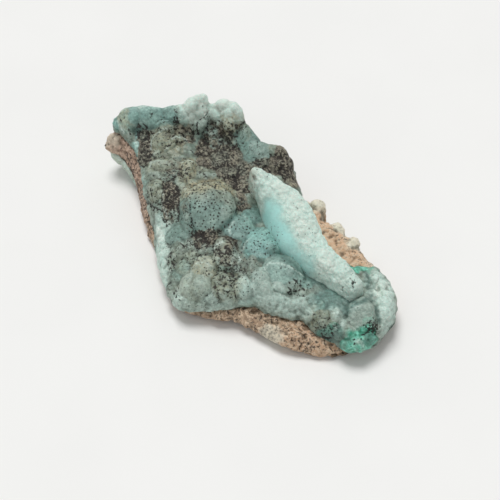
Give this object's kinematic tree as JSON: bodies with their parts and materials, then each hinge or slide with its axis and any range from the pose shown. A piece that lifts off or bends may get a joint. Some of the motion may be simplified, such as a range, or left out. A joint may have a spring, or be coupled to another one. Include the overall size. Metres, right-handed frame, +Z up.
{
  "type": "hemimorphite specimen",
  "caption": "Loose mineral hand piece: pale blue-green botryoidal hemimorphite crust with a long ridge and a raised back wall, grown on a low plate of brown matrix.",
  "frame": {"origin": "on the ground, under the middle of the piece's plan box, in the plane of its flat resting patches", "axes": "+X along the piece towards the end of the ridge, +Y from the low front edge to the back wall, +Z up"},
  "size_m": [0.086, 0.048, 0.0228],
  "materials": {
    "matrix": "rough brown and tan matrix rock, sandy, with dark iron and manganese specks",
    "crust": "waxy to silky pale blue-green botryoidal crust, slightly translucent, with black manganese specks and yellow-green stains",
    "pale_crust": "pale yellowish to greenish translucent crust"
  },
  "bodies": {
    "root": {"matrix": "matrix", "hemimorphite_crust": "crust", "underside_crust": "pale_crust"}
  },
  "joints": []
}
